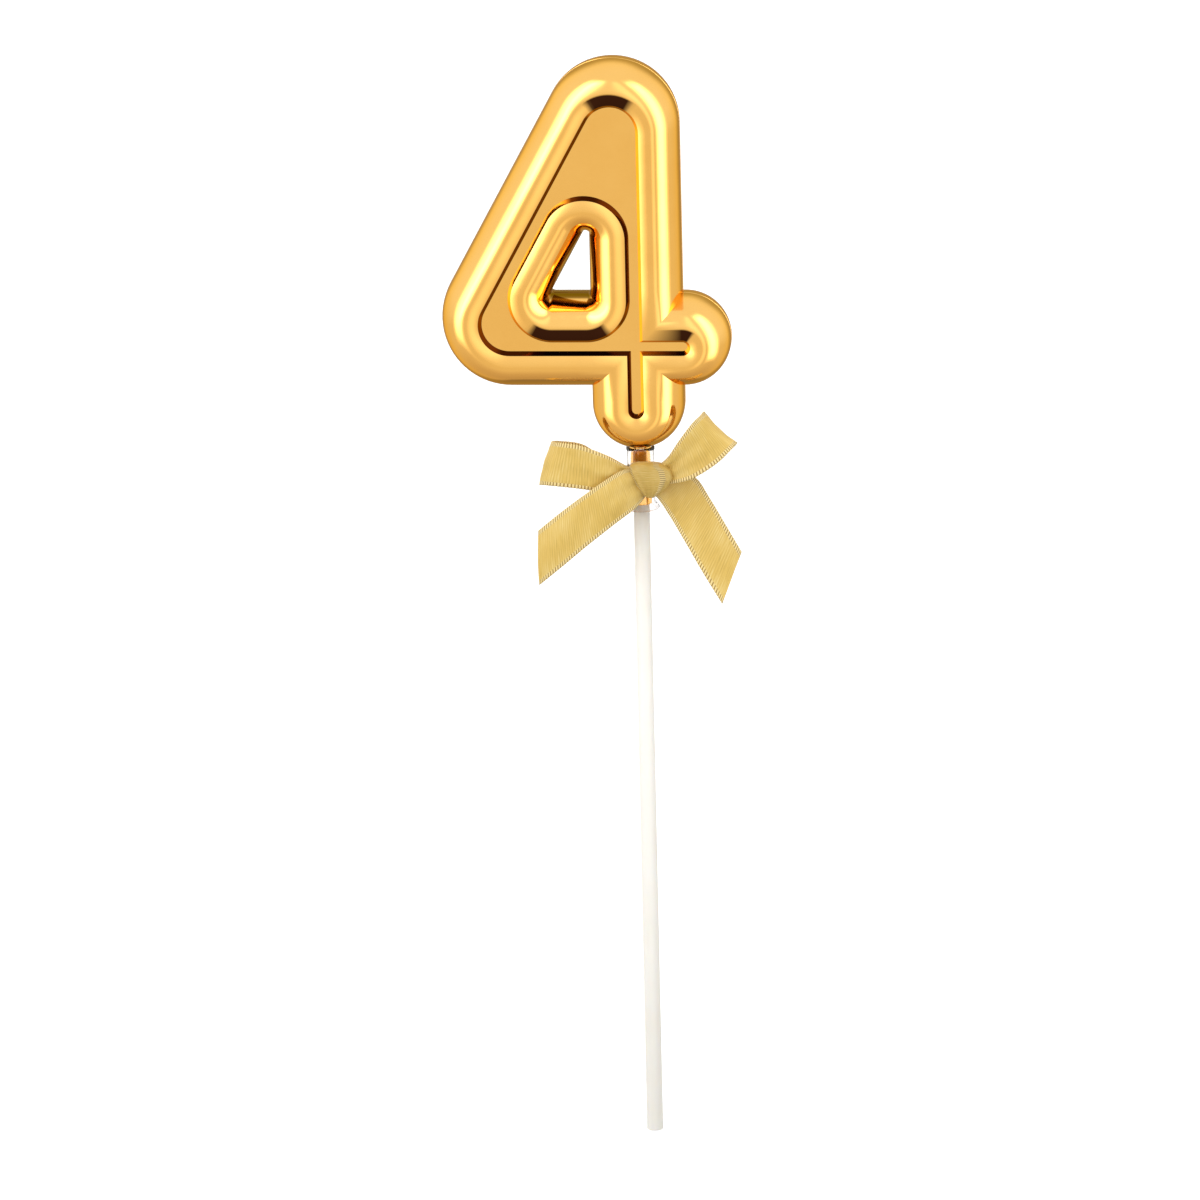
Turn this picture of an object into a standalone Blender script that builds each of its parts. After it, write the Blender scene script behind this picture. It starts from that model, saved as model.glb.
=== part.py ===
"""Cake topper: a hollow gold digit 4 on a stick, with a satin ribbon bow tied round its neck.

Frame: the origin is the centre of the stick's lower end, +Z runs up the stick, and the
digit's face looks towards -Y. Units are metres.
"""

import math

import bmesh
import bpy
from mathutils import Matrix, Vector

MM = 0.001

# Stick: an extruded plastic tube.
STICK_R = 1.75 * MM
STICK_BORE_R = 0.8 * MM
STICK_LENGTH = 150.0 * MM

# Digit: every stroke has the same width, and its outline is straight runs and arcs.
DIGIT_BOTTOM = 154.1 * MM
STROKE = 20.0 * MM
BAR_HEIGHT = 24.1 * MM
KNOB_X = 10.3 * MM
APEX_R = 14.6 * MM
APEX_HEIGHT = 71.9 * MM
CORNER_R = 15.0 * MM
CORNER_X = -27.2 * MM
HOLE_CORNER_R = 0.6 * MM
ARC_STEP = math.radians(15)

# Relief: a round ridge runs along every edge, and a flat panel lies between the ridges.
RIDGE_WIDTH = 9.0 * MM
RIDGE_DEPTH = 9.6 * MM
CREST_IN = 5.6 * MM
FOOT_WIDTH = 0.35 * MM
PANEL_DEPTH = 7.9 * MM
SEAM_LAND = 0.8 * MM
SEAM_GAP = 0.05 * MM
WALL = 0.8 * MM
RIDGE_STEPS = 4
SLOPE_STEPS = 2
SLOPE_ANGLE = math.radians(22)

# Neck: a split spigot under the digit, inside a clear sleeve.
SPIGOT_R = 2.25 * MM
SPIGOT_BORE_R = 1.85 * MM
SPIGOT_BOTTOM = 141.0 * MM
SPIGOT_FLOOR = STICK_LENGTH + 0.3 * MM
SPIGOT_TOP = DIGIT_BOTTOM + 1.5 * MM
SPIGOT_GAP = 0.08 * MM
SLEEVE_BORE_R = 2.35 * MM
SLEEVE_BOTTOM = 140.0 * MM
SLEEVE_TOP = 153.8 * MM
SLEEVE_WAIST_R = 2.9 * MM
SLEEVE_MOUTH_R = 3.9 * MM
SLEEVE_RIM_R = 3.08 * MM
ROUND_SIDES = 32

# Pins that line the two shells up, as x and height above the digit's lower end.
PIN_PLACES = ((0.0, BAR_HEIGHT), (CORNER_X, 29.1 * MM), (-4.6 * MM, APEX_HEIGHT))
PIN_R = 0.8 * MM
SOCKET_R = 0.9 * MM
BOSS_R = 1.7 * MM
PIN_REACH = 2.2 * MM
SOCKET_DEPTH = 2.6 * MM

# Ribbon: 10 mm wide satin, drawn in key lines across its width.
RIBBON = 0.3 * MM
BAND_R = 3.05 * MM
BAND_BOTTOM = 143.6 * MM
BAND_TOP = 149.6 * MM
BAND_THICKNESS = 0.7 * MM
KNOT_CENTRE = (1.9 * MM, -6.3 * MM, 148.0 * MM)
KNOT_SIZE = (8.6 * MM, 4.2 * MM, 7.8 * MM)

GOLD = ((0.83, 0.56, 0.24), 0.12, 1.0)
CLEAR = ((0.93, 0.93, 0.92), 0.08, 0.0)
IVORY = ((0.88, 0.85, 0.78), 0.35, 0.0)
SATIN = ((0.72, 0.60, 0.36), 0.45, 0.0)


def material(name, finish):
    colour, roughness, metallic = finish
    mat = bpy.data.materials.get(name) or bpy.data.materials.new(name)
    mat.use_nodes = True
    shader = mat.node_tree.nodes["Principled BSDF"]
    shader.inputs["Base Color"].default_value = (*colour, 1)
    shader.inputs["Roughness"].default_value = roughness
    shader.inputs["Metallic"].default_value = metallic
    mat.diffuse_color = (*colour, 1)
    return mat


def add_object(name, bm, parent, mat=None):
    """A new object from a bmesh, shaded smooth up to 30 degrees."""
    mesh = bpy.data.meshes.new(name)
    bm.to_mesh(mesh)
    bm.free()
    mesh.shade_smooth()
    mesh.set_sharp_from_angle(angle=math.radians(30))
    obj = bpy.data.objects.new(name, mesh)
    bpy.context.collection.objects.link(obj)
    obj.parent = parent
    if mat:
        mesh.materials.append(mat)
    else:
        obj.hide_render = True
        obj.display_type = "WIRE"
    return obj


def combine(obj, other, operation):
    modifier = obj.modifiers.new(f"{operation.title()} {other.name}", "BOOLEAN")
    modifier.operation = operation
    modifier.solver = "EXACT"
    modifier.object = other


def turned(profile):
    """A closed ring of (radius, height) points, turned about Z."""
    bm = bmesh.new()
    verts = [bm.verts.new((r, 0, z)) for r, z in profile]
    edges = [bm.edges.new((verts[i - 1], verts[i])) for i in range(len(verts))]
    bmesh.ops.spin(
        bm, geom=verts + edges, cent=(0, 0, 0), axis=(0, 0, 1), angle=math.tau, steps=ROUND_SIDES, use_merge=True
    )
    bmesh.ops.recalc_face_normals(bm, faces=bm.faces)
    return bm


def rod(radius, start, end, sides=ROUND_SIDES):
    """A solid cylinder between two points."""
    start, end = Vector(start), Vector(end)
    turn = (end - start).to_track_quat("Z", "Y").to_matrix().to_4x4()
    half_side = Matrix.Rotation(math.pi / sides, 4, "Z")
    place = Matrix.Translation((start + end) / 2) @ turn @ half_side
    bm = bmesh.new()
    bmesh.ops.create_cone(
        bm, cap_ends=True, segments=sides, radius1=radius, radius2=radius, depth=(end - start).length, matrix=place
    )
    return bm


def arc(centre, radius, first, last):
    """Points along an arc, from one angle to another, in degrees."""
    first, last = math.radians(first), math.radians(last)
    steps = max(2, round(abs(last - first) / ARC_STEP))
    angles = [first + (last - first) * i / steps for i in range(steps + 1)]
    return [centre + Vector((math.cos(a), math.sin(a))) * radius for a in angles]


def digit_outline():
    """The outer edge and the hole's edge, anticlockwise, as (x, height) points."""
    half = STROKE / 2
    low, high = BAR_HEIGHT - half, BAR_HEIGHT + half
    apex = Vector((half - APEX_R, APEX_HEIGHT))
    corner = Vector((CORNER_X, low + CORNER_R))
    along = corner - apex
    lean = math.asin((APEX_R - CORNER_R) / along.length)
    along.normalize()
    out = Vector((along.y, -along.x)) * math.cos(lean) + along * math.sin(lean)
    slope = math.degrees(math.atan2(out.y, out.x))
    outer = (
        arc(Vector((0, half)), half, 180, 360)
        + [Vector((half, low))]
        + arc(Vector((KNOB_X, BAR_HEIGHT)), half, -90, 90)
        + [Vector((half, high))]
        + arc(apex, APEX_R, 0, slope)
        + arc(corner, CORNER_R, slope, 270)
        + [Vector((-half, low))]
    )
    inner_edge = out.dot(apex) + APEX_R - STROKE
    r = HOLE_CORNER_R
    right, floor = -half - r, high + r
    top = Vector((right, (inner_edge - r - out.x * right) / out.y))
    left = Vector(((inner_edge - r - out.y * floor) / out.x, floor))
    hole = arc(Vector((right, floor)), r, -90, 0) + arc(top, r, 0, slope) + arc(left, r, slope, 270)
    return outer, hole


def relief_rows():
    """Steps of the relief from the seam to the panel, as (distance in, depth out)."""
    rows = [(0.0, SEAM_LAND)]
    for i in range(1, RIDGE_STEPS + 1):
        a = math.pi / 2 * i / RIDGE_STEPS
        rows.append((CREST_IN * (1 - math.cos(a)), SEAM_LAND + (RIDGE_DEPTH - SEAM_LAND) * math.sin(a)))
    radius = (RIDGE_WIDTH - FOOT_WIDTH - CREST_IN) / math.sin(SLOPE_ANGLE)
    for i in range(1, SLOPE_STEPS + 1):
        a = SLOPE_ANGLE * i / SLOPE_STEPS
        rows.append((CREST_IN + radius * math.sin(a), RIDGE_DEPTH - radius * (1 - math.cos(a))))
    rows.append((RIDGE_WIDTH, PANEL_DEPTH))
    return rows


def inset(loop, distance):
    """The same loop moved to its left by a distance, with mitred corners."""
    moved = []
    for before, here, after in zip(loop[-1:] + loop[:-1], loop, loop[1:] + loop[:1]):
        left_a = (here - before).normalized().orthogonal()
        left_b = (after - here).normalized().orthogonal()
        moved.append(here + (left_a + left_b) * distance / (1 + left_a.dot(left_b)))
    return moved


def shell_surface(side):
    """One half's outer face, open at the seam; side is -1 for the front and 1 for the back."""
    bm = bmesh.new()
    rim = []
    outer, hole = digit_outline()
    for loop, inward in ((outer, 1), (hole, -1)):
        ring = None
        for distance, depth in [(0.0, SEAM_GAP)] + relief_rows():
            points = inset(loop, inward * distance)
            verts = [bm.verts.new((p.x, side * depth, DIGIT_BOTTOM + p.y)) for p in points]
            if ring:
                for i in range(len(verts)):
                    bm.faces.new((ring[i - 1], ring[i], verts[i], verts[i - 1]))
            ring = verts
        rim += [bm.edges.get((ring[i - 1], ring[i])) for i in range(len(ring))]
    bmesh.ops.triangle_fill(bm, edges=rim, use_beauty=True)
    bmesh.ops.recalc_face_normals(bm, faces=bm.faces)
    panel = max(bm.faces, key=lambda face: abs(face.normal.y))
    if panel.normal.y * side < 0:
        bmesh.ops.reverse_faces(bm, faces=bm.faces)
    return bm


def spigot_half(side):
    """Half of the stepped socket that the stick pushes into; side is -1 for the front."""
    bm = rod(SPIGOT_R, (0, 0, SPIGOT_BOTTOM), (0, 0, SPIGOT_TOP))
    cut = bmesh.ops.bisect_plane(
        bm,
        geom=bm.verts[:] + bm.edges[:] + bm.faces[:],
        plane_co=(0, side * SPIGOT_GAP, 0),
        plane_no=(0, -side, 0),
        clear_outer=True,
    )
    bmesh.ops.edgeloop_fill(bm, edges=[e for e in cut["geom_cut"] if isinstance(e, bmesh.types.BMEdge)])
    bmesh.ops.recalc_face_normals(bm, faces=bm.faces)
    return bm


def make_shell(name, side, parent):
    """One half of the digit: the skin, its half of the spigot, and its pins or sockets."""
    shell = add_object(name, shell_surface(side), parent, material("gold", GOLD))
    wall = shell.modifiers.new("Wall", "SOLIDIFY")
    wall.thickness = WALL
    wall.offset = -1
    wall.use_even_offset = True
    wall.use_quality_normals = True
    spigot = add_object(f"{name}_spigot", spigot_half(side), parent)
    bore_start = (0, 0, SPIGOT_BOTTOM - MM)
    bore = add_object(f"{name}_bore", rod(SPIGOT_BORE_R, bore_start, (0, 0, SPIGOT_FLOOR)), parent)
    combine(spigot, bore, "DIFFERENCE")
    combine(shell, spigot, "UNION")
    for i, (x, height) in enumerate(PIN_PLACES):
        z = DIGIT_BOTTOM + height
        back = (x, side * (PANEL_DEPTH - WALL / 2), z)
        boss = add_object(f"{name}_boss_{i}", rod(BOSS_R, (x, side * SEAM_GAP, z), back, 16), parent)
        combine(shell, boss, "UNION")
        if side > 0:
            pin = add_object(f"{name}_pin_{i}", rod(PIN_R, (x, -PIN_REACH, z), back, 12), parent)
            combine(shell, pin, "UNION")
        else:
            socket = add_object(
                f"{name}_socket_{i}", rod(SOCKET_R, (x, MM, z), (x, -SOCKET_DEPTH, z), 12), parent
            )
            combine(shell, socket, "DIFFERENCE")
    return shell


def make_stick(parent):
    profile = [
        (STICK_BORE_R, 0),
        (STICK_R, 0),
        (STICK_R, STICK_LENGTH),
        (STICK_BORE_R, STICK_LENGTH),
    ]
    return add_object("stick", turned(profile), parent, material("ivory_plastic", IVORY))


def make_sleeve(parent):
    """The clear sleeve: a flared mouth, a straight waist for the bow, and a small top rim."""
    mouth_lip = 0.5 * MM
    rim_height = 0.6 * MM
    profile = [
        (SLEEVE_BORE_R + 0.9 * MM, SLEEVE_BOTTOM),
        (SLEEVE_MOUTH_R, SLEEVE_BOTTOM),
        (SLEEVE_MOUTH_R, SLEEVE_BOTTOM + mouth_lip),
        (SLEEVE_WAIST_R, SLEEVE_BOTTOM + 1.8 * MM),
        (SLEEVE_WAIST_R, SLEEVE_TOP - rim_height - 0.3 * MM),
        (SLEEVE_RIM_R, SLEEVE_TOP - rim_height),
        (SLEEVE_RIM_R, SLEEVE_TOP),
        (SLEEVE_BORE_R, SLEEVE_TOP),
        (SLEEVE_BORE_R, SLEEVE_BOTTOM + 1.2 * MM),
    ]
    return add_object("neck_sleeve", turned(profile), parent, material("clear_plastic", CLEAR))


def make_band(parent):
    profile = [
        (BAND_R, BAND_BOTTOM),
        (BAND_R + BAND_THICKNESS, BAND_BOTTOM + 0.3 * MM),
        (BAND_R + BAND_THICKNESS, BAND_TOP - 0.3 * MM),
        (BAND_R, BAND_TOP),
    ]
    return add_object("bow_band", turned(profile), parent, material("satin", SATIN))


def make_knot(parent):
    bm = bmesh.new()
    bmesh.ops.create_cube(bm, size=1.0)
    bmesh.ops.scale(bm, vec=KNOT_SIZE, verts=bm.verts)
    bmesh.ops.bevel(
        bm, geom=bm.edges[:], offset=1.6 * MM, segments=3, profile=0.5, affect="EDGES", material=-1
    )
    bmesh.ops.translate(bm, vec=KNOT_CENTRE, verts=bm.verts)
    return add_object("bow_knot", bm, parent, material("satin", SATIN))


def make_ribbon(name, stations, parent):
    """A stretch of ribbon through lines across its width, each an upper and a lower point in mm."""
    bm = bmesh.new()
    rows = [[bm.verts.new(Vector(p) * MM) for p in station] for station in stations]
    for (a, b), (c, d) in zip(rows, rows[1:]):
        bm.faces.new((a, b, d, c))
    ribbon = add_object(name, bm, parent, material("satin", SATIN))
    smooth = ribbon.modifiers.new("Smooth", "SUBSURF")
    smooth.levels = 2
    smooth.render_levels = 2
    smooth.boundary_smooth = "PRESERVE_CORNERS"
    thick = ribbon.modifiers.new("Thickness", "SOLIDIFY")
    thick.thickness = RIBBON
    thick.offset = 0
    return ribbon


# Each line across the ribbon is (upper point, lower point), in mm, from the knot outwards.
LEFT_LOOP = (
    ((-3.0, -6.2, 150.8), (-3.0, -6.2, 146.0)),
    ((-6.5, -8.0, 153.6), (-7.0, -8.0, 145.8)),
    ((-12.5, -9.0, 156.3), (-13.5, -9.0, 146.2)),
    ((-18.5, -8.6, 156.7), (-20.5, -8.6, 146.5)),
    ((-20.2, -6.4, 156.3), (-22.4, -6.4, 146.2)),
    ((-18.5, -4.2, 156.0), (-20.5, -4.2, 145.9)),
    ((-12.5, -3.4, 155.0), (-13.5, -3.4, 145.4)),
    ((-7.5, -4.2, 151.8), (-7.5, -4.2, 145.2)),
    ((-3.2, -5.1, 150.2), (-3.2, -5.1, 146.0)),
)
RIGHT_LOOP = (
    ((6.9, -6.6, 151.6), (7.0, -6.6, 147.2)),
    ((9.4, -8.2, 156.0), (11.8, -8.2, 148.0)),
    ((12.6, -9.0, 160.8), (17.6, -9.2, 151.4)),
    ((14.6, -8.4, 163.0), (21.6, -8.6, 155.2)),
    ((15.2, -6.4, 163.2), (22.1, -6.4, 156.0)),
    ((14.4, -4.6, 162.2), (21.0, -4.6, 154.8)),
    ((11.6, -4.0, 158.0), (17.2, -4.0, 150.8)),
    ((9.0, -4.4, 153.8), (11.4, -4.4, 147.8)),
    ((6.8, -5.4, 150.8), (7.2, -5.4, 147.0)),
)
LEFT_TAIL = (
    ((-3.2, -7.2, 150.0), (-2.6, -7.2, 145.0)),
    ((-6.5, -9.2, 148.8), (-5.0, -9.2, 141.4)),
    ((-12.0, -10.4, 145.2), (-11.0, -10.2, 135.2)),
    ((-17.5, -10.0, 141.4), (-17.0, -9.8, 130.0)),
    ((-22.6, -8.8, 137.4), (-22.8, -8.6, 125.2)),
)
RIGHT_TAIL = (
    ((7.2, -4.4, 145.9), (4.0, -5.0, 143.4)),
    ((11.2, -4.0, 145.4), (4.8, -5.8, 141.6)),
    ((14.8, -4.6, 141.4), (8.4, -6.4, 135.6)),
    ((18.4, -5.4, 137.0), (13.0, -6.6, 128.2)),
    ((22.1, -5.6, 131.6), (17.6, -6.2, 119.9)),
)


def main():
    for obj in list(bpy.data.objects):
        bpy.data.objects.remove(obj, do_unlink=True)

    root = bpy.data.objects.new("stick_axis", None)
    neck = bpy.data.objects.new("neck_axis", None)
    digit = bpy.data.objects.new("digit_axis", None)
    bow = bpy.data.objects.new("bow_axis", None)
    for empty in (root, neck, digit, bow):
        bpy.context.collection.objects.link(empty)
    neck.parent = root
    digit.parent = neck
    bow.parent = neck

    make_stick(root)
    make_sleeve(neck)
    make_shell("front_shell", -1, digit)
    make_shell("back_shell", 1, digit)
    make_band(bow)
    make_knot(bow)
    make_ribbon("bow_loop_left", LEFT_LOOP, bow)
    make_ribbon("bow_loop_right", RIGHT_LOOP, bow)
    make_ribbon("bow_tail_left", LEFT_TAIL, bow)
    make_ribbon("bow_tail_right", RIGHT_TAIL, bow)


main()
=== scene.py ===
"""Gold number 4 cake topper on a stick, with a satin bow: its looks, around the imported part."""

import math

import bmesh
import bpy
from mathutils import Matrix, Vector, noise


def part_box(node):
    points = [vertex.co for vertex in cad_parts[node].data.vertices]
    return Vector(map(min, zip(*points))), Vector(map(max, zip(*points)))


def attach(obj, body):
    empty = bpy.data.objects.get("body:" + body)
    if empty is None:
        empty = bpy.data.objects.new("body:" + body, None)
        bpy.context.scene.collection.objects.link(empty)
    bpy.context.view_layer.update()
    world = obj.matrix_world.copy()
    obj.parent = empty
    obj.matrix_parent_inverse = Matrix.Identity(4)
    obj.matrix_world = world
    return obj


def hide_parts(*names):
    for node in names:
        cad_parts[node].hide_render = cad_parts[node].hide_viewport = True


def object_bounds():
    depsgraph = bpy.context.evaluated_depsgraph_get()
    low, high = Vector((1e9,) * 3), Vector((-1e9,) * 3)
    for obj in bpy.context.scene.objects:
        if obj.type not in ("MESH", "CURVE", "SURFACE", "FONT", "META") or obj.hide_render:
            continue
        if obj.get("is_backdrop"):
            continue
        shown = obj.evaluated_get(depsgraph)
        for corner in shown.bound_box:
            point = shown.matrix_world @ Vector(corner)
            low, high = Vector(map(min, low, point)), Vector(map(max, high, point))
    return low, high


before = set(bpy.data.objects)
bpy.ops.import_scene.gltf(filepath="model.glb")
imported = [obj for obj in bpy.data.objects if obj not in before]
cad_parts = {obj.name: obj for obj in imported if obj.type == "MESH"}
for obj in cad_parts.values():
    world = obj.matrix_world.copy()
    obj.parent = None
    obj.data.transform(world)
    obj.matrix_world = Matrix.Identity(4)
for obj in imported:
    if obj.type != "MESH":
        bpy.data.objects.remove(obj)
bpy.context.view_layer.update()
mm = 0.001

# ---------------------------------------------------------------------------------------
# Camera: a long lens, a little above and to the right of the digit's face, and rolled
# slightly, so that the stick leans in the picture as it does when the topper is laid out.
# ---------------------------------------------------------------------------------------
view_azimuth = math.radians(4.6)
view_elevation = math.radians(15.5)
view_roll = math.radians(1.27)
picture_width = 260.9 * mm
lens = 1000.0
sensor = 36.0
end_across = 12.0 * mm  # where the stick's lower end lies, from the picture's centre
end_down = 114.9 * mm

towards_camera = Vector(
    (
        math.sin(view_azimuth) * math.cos(view_elevation),
        -math.cos(view_azimuth) * math.cos(view_elevation),
        math.sin(view_elevation),
    )
)
level_right = Vector((math.cos(view_azimuth), math.sin(view_azimuth), 0))
level_up = towards_camera.cross(level_right)
picture_right = level_right * math.cos(view_roll) - level_up * math.sin(view_roll)
picture_up = level_up * math.cos(view_roll) + level_right * math.sin(view_roll)
distance = picture_width * lens / sensor
picture_centre = picture_up * end_down - picture_right * end_across

camera_data = bpy.data.cameras.new("camera")
camera_data.lens = lens
camera_data.sensor_width = sensor
camera_data.clip_end = 50
camera = bpy.data.objects.new("camera", camera_data)
turn = Matrix((picture_right, picture_up, towards_camera)).transposed()
camera.matrix_world = Matrix.Translation(picture_centre + towards_camera * distance) @ turn.to_4x4()
bpy.context.scene.collection.objects.link(camera)
bpy.context.scene.camera = camera
bpy.context.scene.view_settings.view_transform = "Standard"


# ---------------------------------------------------------------------------------------
# White studio table under the stick, and the light tent around it. The tent is what the
# mirror gold shows: a pale dome, warmer towards the table, with tall soft lights in it.
# ---------------------------------------------------------------------------------------
def add_piece(name, bm, smooth_angle=30):
    """A new piece from a bmesh, smooth except where faces meet at more than an angle."""
    mesh = bpy.data.meshes.new(name)
    bm.to_mesh(mesh)
    bm.free()
    mesh.shade_smooth()
    mesh.set_sharp_from_angle(angle=math.radians(smooth_angle))
    piece = bpy.data.objects.new(name, mesh)
    bpy.context.scene.collection.objects.link(piece)
    return piece


table_size = 6.0
table_gap = 0.3 * mm

bm = bmesh.new()
bmesh.ops.create_grid(bm, x_segments=1, y_segments=1, size=table_size / 2)
bmesh.ops.translate(bm, vec=(0, 0, -table_gap), verts=bm.verts)
table = add_piece("table", bm)
table.visible_glossy = False
table.visible_diffuse = False
table_paint = bpy.data.materials.new("white_table")
table_paint.use_nodes = True
paint = table_paint.node_tree.nodes["Principled BSDF"]
paint.inputs["Base Color"].default_value = (0.3, 0.3, 0.3, 1)
paint.inputs["Roughness"].default_value = 0.9
paint.inputs["Emission Color"].default_value = (1, 1, 1, 1)
paint.inputs["Emission Strength"].default_value = 0.9
table.data.materials.append(table_paint)
table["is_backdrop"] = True


class Nodes:
    """Adds and links the nodes of one tree."""

    def __init__(self, tree):
        self.tree = tree

    def add(self, kind, inputs=None, **settings):
        node = self.tree.nodes.new(kind)
        for name, value in settings.items():
            setattr(node, name, value)
        for name, value in (inputs or {}).items():
            self.feed(node.inputs[name], value)
        return node

    def feed(self, socket, value):
        if isinstance(value, bpy.types.NodeSocket):
            self.tree.links.new(value, socket)
        else:
            socket.default_value = value

    def math(self, operation, a, b=0.0):
        node = self.add("ShaderNodeMath", operation=operation)
        self.feed(node.inputs[0], a)
        self.feed(node.inputs[1], b)
        return node.outputs[0]

    def between(self, value, low, high, to_low=0.0, to_high=1.0, smooth=True):
        shape = "SMOOTHSTEP" if smooth else "LINEAR"
        node = self.add("ShaderNodeMapRange", interpolation_type=shape)
        for name, given in (
            ("Value", value),
            ("From Min", low),
            ("From Max", high),
            ("To Min", to_low),
            ("To Max", to_high),
        ):
            self.feed(node.inputs[name], given)
        return node.outputs["Result"]

    def ramp(self, value, stops):
        node = self.add("ShaderNodeValToRGB", {"Fac": value})
        elements = node.color_ramp.elements
        for element, (place, colour) in zip(elements, (stops[0], stops[-1])):
            element.position = place
            element.color = (*colour, 1)
        for place, colour in stops[1:-1]:
            elements.new(place).color = (*colour, 1)
        return node.outputs["Color"]


class Light:
    """A tall soft light: its azimuth, and how its glow falls off with azimuth and elevation."""

    def __init__(self, azimuth, core, reach, lowest, full_from, strength):
        self.azimuth, self.core, self.reach = azimuth, core, reach
        self.lowest, self.full_from, self.strength = lowest, full_from, strength


# Azimuths are degrees from straight in front of the digit, and elevations from level.
side_lights = (
    Light(azimuth=-52, core=6, reach=38, lowest=-36, full_from=-10, strength=2.3),
    Light(azimuth=-32, core=6, reach=25, lowest=-13, full_from=-4, strength=1.4),
    Light(azimuth=64, core=4, reach=40, lowest=-44, full_from=-22, strength=2.5),
    Light(azimuth=10, core=2, reach=14, lowest=-40, full_from=-18, strength=0.4),
)
top_fade = (50, 72)
backdrop_edge = (138, 162)  # how far round to each side the dim backdrop starts, and is full
backdrop_top = (15, 45)
backdrop_dimming = 0.5
wash_sideways = (1.08, 0.82)  # light on dull surfaces: from the left and from the right
wash_upwards = (0.55, 1.22)  # and from below and from above
tent_stops = (
    # share of the way from straight down to straight up, and the tent's colour there
    (0.00, (0.55, 0.45, 0.34)),
    (0.17, (0.68, 0.58, 0.45)),
    (0.32, (0.84, 0.77, 0.64)),
    (0.415, (0.86, 0.80, 0.66)),
    (0.47, (0.95, 0.93, 0.88)),
    (0.54, (1.02, 1.02, 1.02)),
    (1.00, (1.0, 1.0, 1.0)),
)

world = bpy.data.worlds.new("light_tent")
bpy.context.scene.world = world
world.use_nodes = True
world.node_tree.nodes.clear()
tent = Nodes(world.node_tree)
direction = tent.add("ShaderNodeTexCoord").outputs["Generated"]
parts = tent.add("ShaderNodeSeparateXYZ", {"Vector": direction}).outputs
azimuth = tent.math("ARCTAN2", parts["X"], tent.math("MULTIPLY", parts["Y"], -1.0))
azimuth = tent.math("DEGREES", azimuth)
elevation = tent.math("DEGREES", tent.math("ARCSINE", parts["Z"]))
dome = tent.ramp(tent.between(elevation, -90, 90, smooth=False), tent_stops)
turned_away = tent.between(tent.math("ABSOLUTE", azimuth), *backdrop_edge)
low = tent.between(elevation, *backdrop_top, 1.0, 0.0)
low_behind = tent.math("MULTIPLY", turned_away, low)
backdrop = tent.math("SUBTRACT", 1.0, tent.math("MULTIPLY", low_behind, backdrop_dimming))
glow = None
for light in side_lights:
    off = tent.math("ABSOLUTE", tent.math("SUBTRACT", azimuth, light.azimuth))
    across = tent.between(off, light.core, light.reach, light.strength, 0.0)
    strip = tent.math("MULTIPLY", across, tent.between(elevation, light.lowest, light.full_from))
    glow = strip if glow is None else tent.math("ADD", glow, strip)
glow = tent.math("MULTIPLY", glow, tent.between(elevation, *top_fade, 1.0, 0.0))
shaded = tent.add("ShaderNodeVectorMath", operation="SCALE")
tent.feed(shaded.inputs[0], dome)
tent.feed(shaded.inputs["Scale"], backdrop)
lit = tent.add("ShaderNodeVectorMath", operation="ADD")
tent.feed(lit.inputs[0], shaded.outputs[0])
tent.feed(lit.inputs[1], glow)
paths = tent.add("ShaderNodeLightPath").outputs
white = tent.add("ShaderNodeBackground", {"Color": (1, 1, 1, 1), "Strength": 1.0})
mirrored = tent.add("ShaderNodeBackground", {"Color": lit.outputs[0], "Strength": 1.0})
from_left = tent.between(parts["X"], -1, 1, *wash_sideways, smooth=False)
from_above = tent.between(parts["Z"], -1, 1, *wash_upwards, smooth=False)
wash = tent.add("ShaderNodeBackground", {"Color": (1, 1, 1, 1)})
tent.feed(wash.inputs["Strength"], tent.math("MULTIPLY", from_left, from_above))
mirror_or_wash = tent.add("ShaderNodeMixShader")
tent.feed(mirror_or_wash.inputs["Fac"], paths["Is Diffuse Ray"])
tent.feed(mirror_or_wash.inputs[1], mirrored.outputs[0])
tent.feed(mirror_or_wash.inputs[2], wash.outputs[0])
straight = tent.math("MAXIMUM", paths["Is Camera Ray"], paths["Is Transmission Ray"])
behind = tent.add("ShaderNodeMixShader")
tent.feed(behind.inputs["Fac"], straight)
tent.feed(behind.inputs[1], mirror_or_wash.outputs[0])
tent.feed(behind.inputs[2], white.outputs[0])
tent.add("ShaderNodeOutputWorld", {"Surface": behind.outputs[0]})


# ---------------------------------------------------------------------------------------
# The digit: two moulded shells, vacuum metallised in gold and welded edge to edge. Each is
# a round ridge that follows every edge, with a flat panel between the ridges, and carries
# half of the split spigot that goes down into the neck sleeve.
# ---------------------------------------------------------------------------------------
shell_low, shell_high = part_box("front_shell")
spigot_bottom = shell_low.z
digit_top = shell_high.z
digit_height = 86.5 * mm
digit_bottom = digit_top - digit_height
stroke = 20.0 * mm
bar_height = 24.1 * mm
knob_x = shell_high.x - stroke / 2
apex_radius = 14.6 * mm
corner_radius = 15.0 * mm
corner_x = shell_low.x + corner_radius
hole_corner_radius = 0.6 * mm
arc_step = math.radians(5)
run_step = 2.5 * mm

seam_gap = 0.01 * mm
seam_chamfer = 0.18 * mm
seam_land = 0.7 * mm
ridge_width = 9.0 * mm
ridge_depth = -shell_low.y
crest_in = 5.6 * mm
foot_width = 0.75 * mm
panel_sunk = 1.7 * mm
panel_depth = ridge_depth - panel_sunk
ridge_steps = 16
slope_steps = 8
slope_angle = math.radians(14)
sharp_edge = 0.05 * mm
wall = 0.8 * mm

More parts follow.
